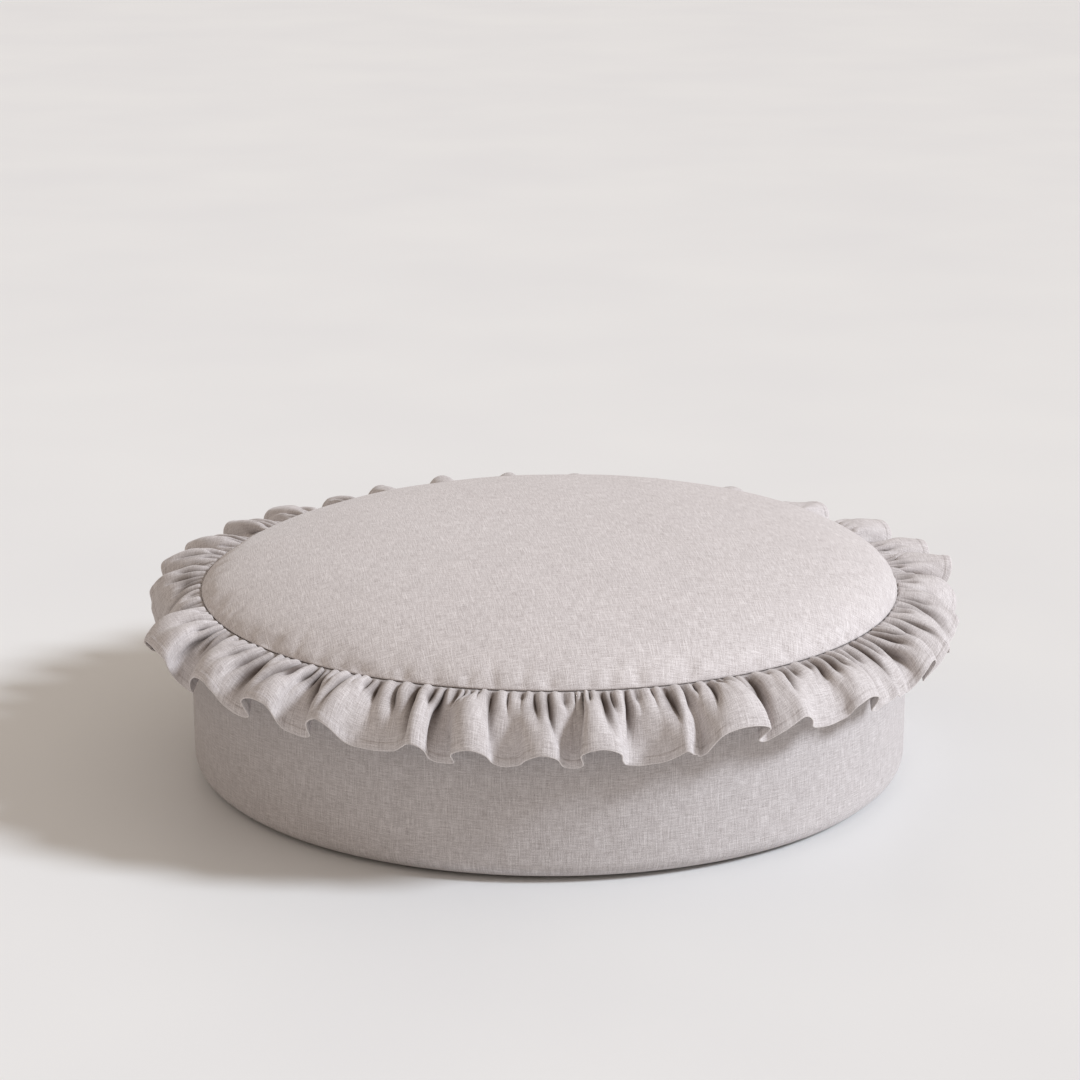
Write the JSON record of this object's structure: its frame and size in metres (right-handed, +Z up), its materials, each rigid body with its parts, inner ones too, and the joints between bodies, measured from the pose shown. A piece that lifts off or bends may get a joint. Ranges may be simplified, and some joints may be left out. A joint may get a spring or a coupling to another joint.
{
  "type": "round ottoman with a gathered ruffle",
  "caption": "Low round upholstered ottoman: a padded drum, a domed stuffed top and a gathered ruffle standing out from the seam between them.",
  "frame": {"origin": "middle of the base's flat underside, on the floor", "axes": "+Z up, -Y the front that the picture shows, +X to the right of someone who faces the front"},
  "size_m": [1.3743, 1.3761, 0.4096],
  "materials": {
    "base_board": "dark matte",
    "linen": "slub plain weave, matte"
  },
  "bodies": {
    "root": {"base_plinth": "base_board", "padded_drum": "linen", "crown_top": "linen", "gathered_ruffle": "linen"}
  },
  "joints": []
}
